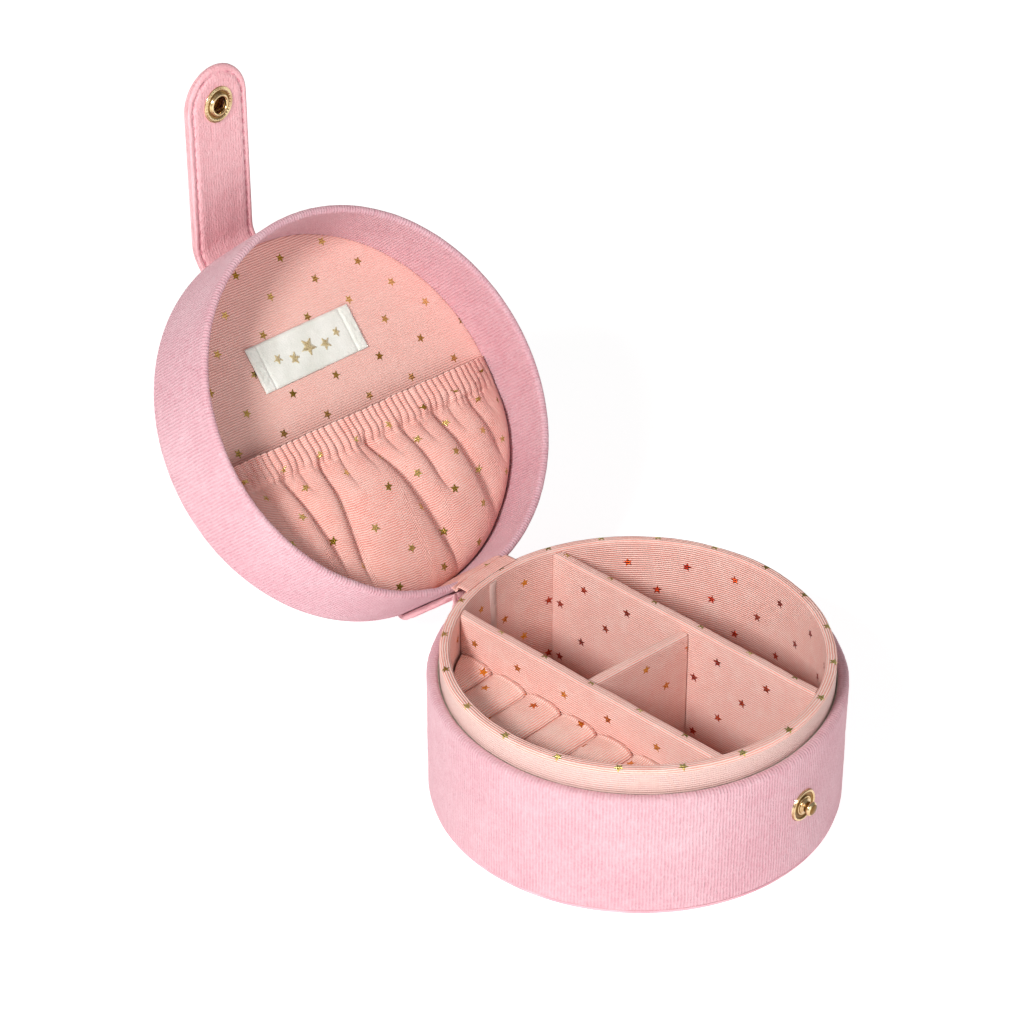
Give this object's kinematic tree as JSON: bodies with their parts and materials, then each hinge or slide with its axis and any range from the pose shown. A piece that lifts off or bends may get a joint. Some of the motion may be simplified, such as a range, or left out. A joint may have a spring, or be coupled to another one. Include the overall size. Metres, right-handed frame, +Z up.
{
  "type": "round jewellery case",
  "caption": "Round velvet-covered travel jewellery case with a hinged lid, gathered lid pocket, lined divided insert with ring rolls, and a snap strap.",
  "frame": {"origin": "centre of the base's underside, where the case stands", "axes": "+Z up; +Y back, through the lid hinge; -Y front, through the snap stud; -X towards the ring rolls. Stored open, with the lid tipped back on its stop and the strap's flap upright"},
  "size_m": [0.1, 0.19, 0.147],
  "materials": {
    "velvet": "pale pink fine-ribbed velvet",
    "lining": "peach-pink ribbed lining with foil stars",
    "roll_lining": "peach-pink ribbed lining with foil stars, padded",
    "label_cloth": "cream woven cloth, blank",
    "cover_cloth": "pink covering cloth under the base",
    "foam": "open-cell foam",
    "board": "grey pressed board",
    "gold_metal": "polished gold plate"
  },
  "bodies": {
    "base": {"base_bottom_cover": "cover_cloth", "base_bottom_board": "board", "base_floor_lining": "lining", "base_wall_board": "board", "base_velvet_wall": "velvet", "collar_board": "board", "collar_lining": "lining", "ring_divider_core": "board", "ring_divider_lining": "lining", "far_divider_core": "board", "far_divider_lining": "lining", "cross_divider_core": "board", "cross_divider_lining": "lining", "ring_roll_1": "roll_lining", "ring_roll_2": "roll_lining", "ring_roll_3": "roll_lining", "ring_roll_4": "roll_lining", "ring_roll_5": "roll_lining", "ring_roll_6": "roll_lining", "ring_roll_7": "roll_lining", "hinge_tab": "lining", "strap_tail": "velvet", "strap_hinge": "velvet", "snap_stud": "gold_metal", "stud_washer": "gold_metal", "stud_rivet": "gold_metal"},
    "lid": {"lid_wall_board": "board", "lid_velvet_wall": "velvet", "lid_top_board": "board", "lid_top_velvet": "velvet", "lid_foam": "foam", "lid_panel_board": "board", "lid_panel_lining": "lining", "pocket_elastic_band": "lining", "pocket_fabric": "lining", "label": "label_cloth", "hinge_tab_lid": "lining", "strap_lid": "velvet"},
    "flap": {"flap_inner_velvet": "velvet", "flap_core": "board", "flap_outer_velvet": "velvet", "snap_socket": "gold_metal", "snap_cap": "gold_metal", "snap_spring": "gold_metal"}
  },
  "joints": [
    {"name": "lid_hinge", "type": "hinge", "parent": "base", "child": "lid", "pos_m": [0, 0.05, 0.036], "axis": [-1, 0, 0], "range_deg": [-131, 0], "deforming": ["hinge_tab", "strap_hinge"]},
    {"name": "strap_fold", "type": "hinge", "parent": "lid", "child": "flap", "pos_m": [0, 0.13306, 0.0971], "axis": [1, 0, 0], "range_deg": [-86, 49]}
  ]
}
